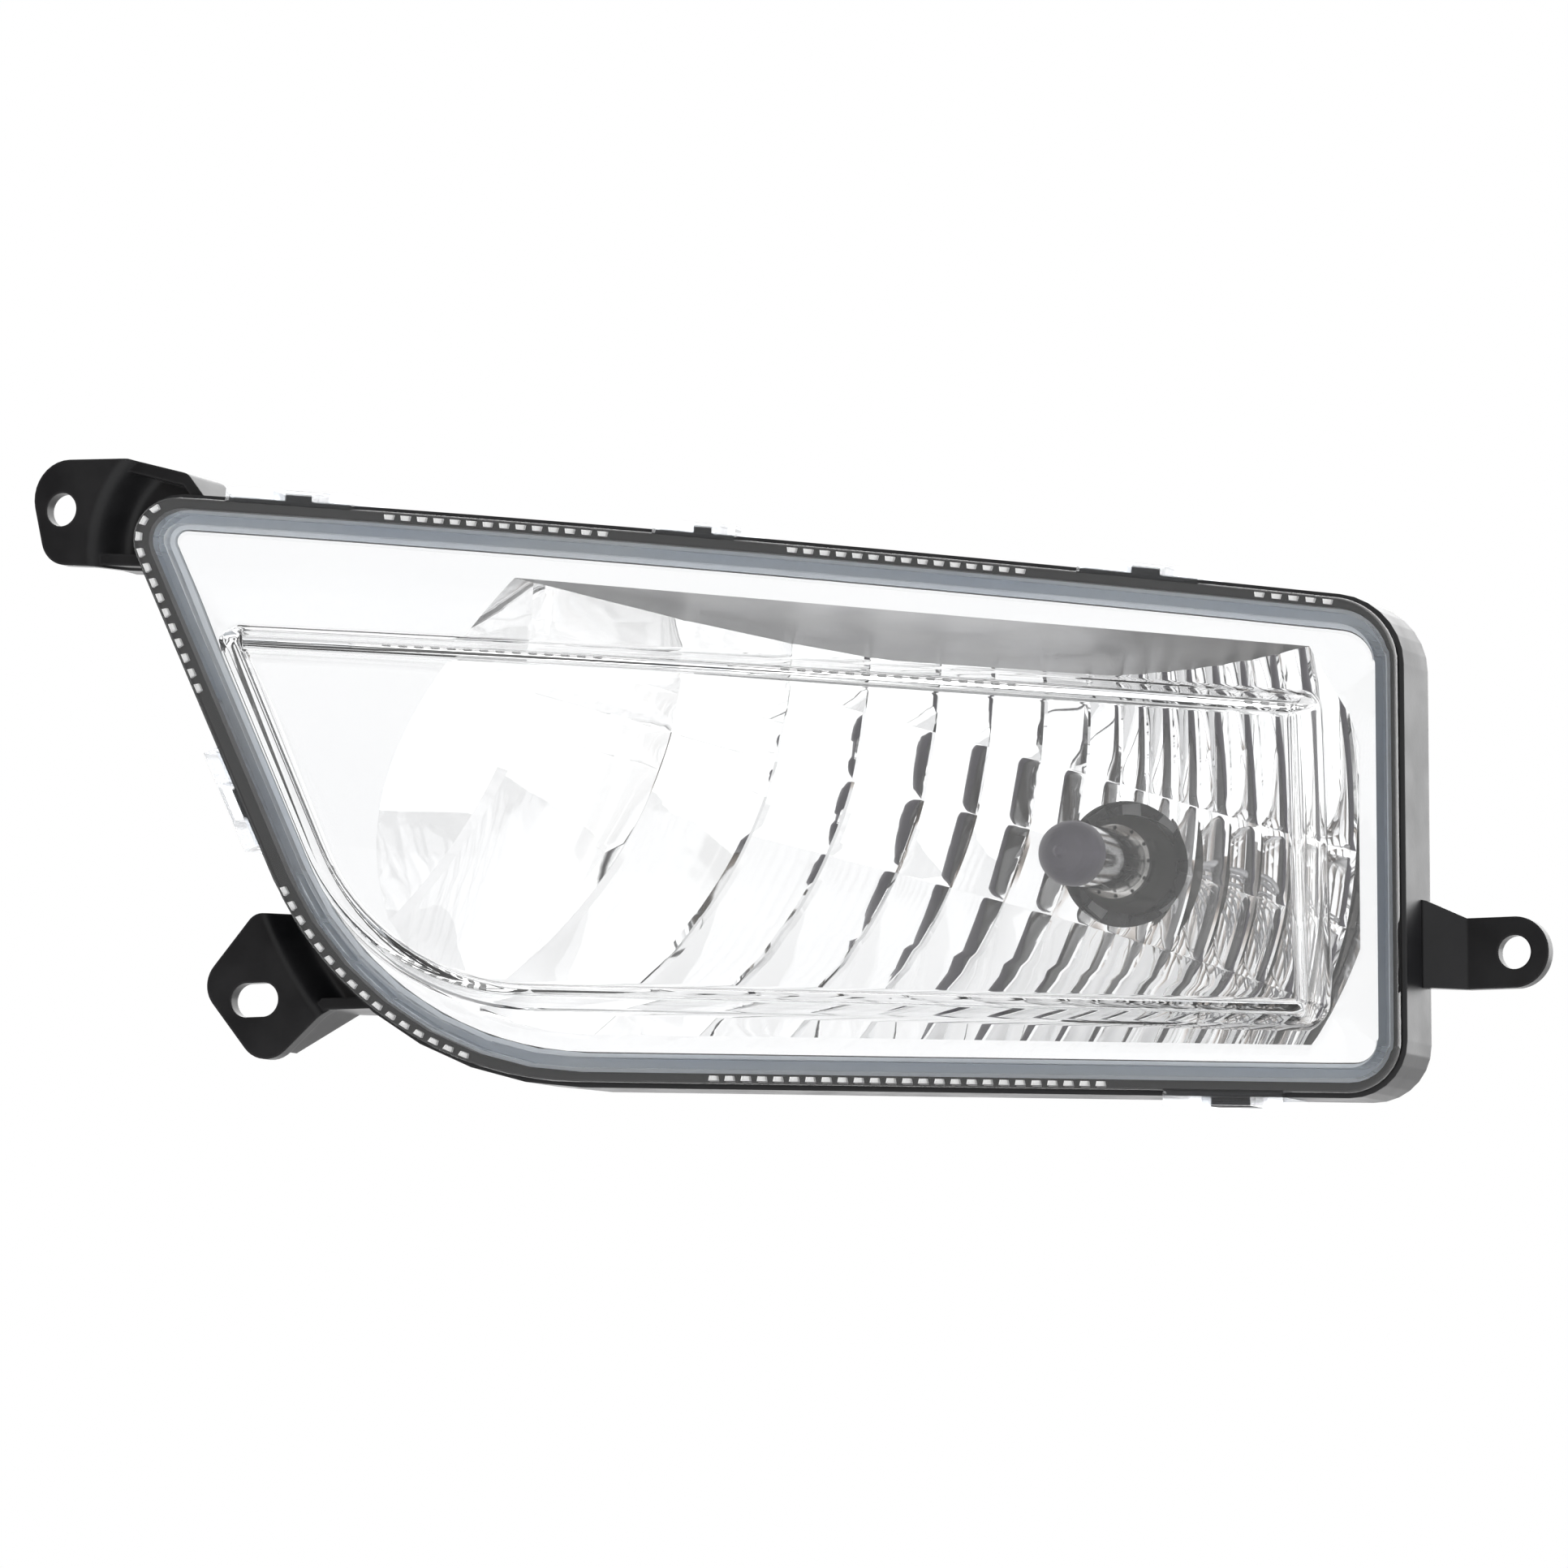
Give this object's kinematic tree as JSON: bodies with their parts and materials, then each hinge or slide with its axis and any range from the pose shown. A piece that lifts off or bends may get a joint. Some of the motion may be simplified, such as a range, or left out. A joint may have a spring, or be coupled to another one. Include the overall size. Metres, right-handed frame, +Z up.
{
  "type": "vehicle fog light",
  "caption": "Swept left-hand fog light: clear raised-panel lens snapped over a black housing, one-piece mirror reflector, quarter-turn bulb and moulded mounting tabs.",
  "frame": {"origin": "centre of the outer (right-hand, seen from the front) mounting tab's round hole, on the tab's front face", "axes": "+Z up, -Y forwards along the beam and the bulb's axis, +X to the right as seen from the front"},
  "size_m": [0.2931, 0.1665, 0.1362],
  "materials": {
    "black_plastic": "fine satin moulding texture",
    "clear_plastic": "clear polycarbonate, gloss",
    "sealant": "blue-grey sealing compound",
    "bright_plate": "vacuum-metallised mirror",
    "zinc_steel": "zinc plated",
    "soft_black": "matt moulded rubber",
    "white_membrane": "porous membrane",
    "bulb_black": "satin moulded",
    "seal_silicone": "light grey silicone",
    "tinned_brass": "tin plated",
    "stainless": "pressed stainless, bright",
    "quartz": "clear quartz",
    "dark_coating": "dark heat-resistant paint",
    "tungsten": "drawn wire"
  },
  "bodies": {
    "lamp": {"housing": "black_plastic", "outer_bracket": "black_plastic", "upper_bracket": "black_plastic", "lower_bracket": "black_plastic", "lens": "clear_plastic", "lens_sealant": "sealant", "reflector": "bright_plate", "reflector_screws": "zinc_steel", "socket_ring": "black_plastic", "upper_vent_cap": "soft_black", "lower_vent_cap": "soft_black", "vent_filters": "white_membrane"},
    "bulb": {"bulb_base": "bulb_black", "bulb_seal_ring": "seal_silicone", "bulb_terminals": "tinned_brass", "bulb_focus_ring": "stainless", "bulb_clamp_ring": "stainless", "bulb_glass": "quartz", "bulb_tip_coating": "dark_coating", "low_beam_filament": "tungsten", "high_beam_filament": "tungsten", "filament_leads": "tungsten"}
  },
  "joints": [
    {"name": "bulb_twist", "type": "hinge", "parent": "lamp", "child": "bulb", "pos_m": [-0.0902, 0.01252, 0.0217], "axis": [0, 1, 0], "range_deg": [0, 30]}
  ]
}
